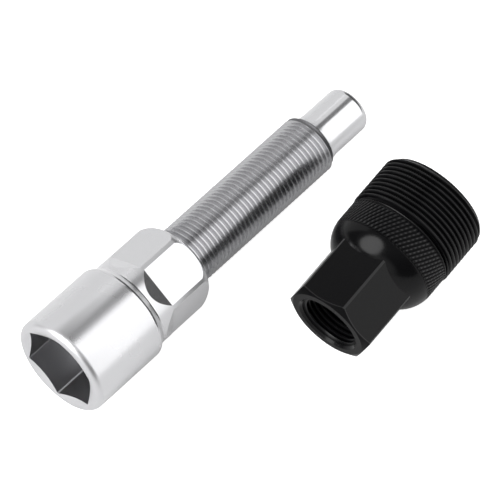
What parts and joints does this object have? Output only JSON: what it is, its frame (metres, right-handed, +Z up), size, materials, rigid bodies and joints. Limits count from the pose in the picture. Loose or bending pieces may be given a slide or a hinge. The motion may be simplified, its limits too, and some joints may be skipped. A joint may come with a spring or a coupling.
{
  "type": "bicycle crank puller",
  "caption": "Screw puller for pressed-on bicycle crank arms, unscrewed: plated spindle with hex socket and push pin, beside its black hex body with crank thread.",
  "frame": {"origin": "under the middle of the pair's box, on the surface that it lies on", "axes": "+X along the spindle from its socket to its push pin, +Z up"},
  "size_m": [0.0808, 0.049, 0.0224],
  "materials": {
    "plated_steel": "bright nickel-chrome plating over turned steel",
    "black_steel": "black, satin to gloss, over turned steel"
  },
  "bodies": {
    "root": {"spindle": "plated_steel", "puller_body": "black_steel"}
  },
  "joints": []
}
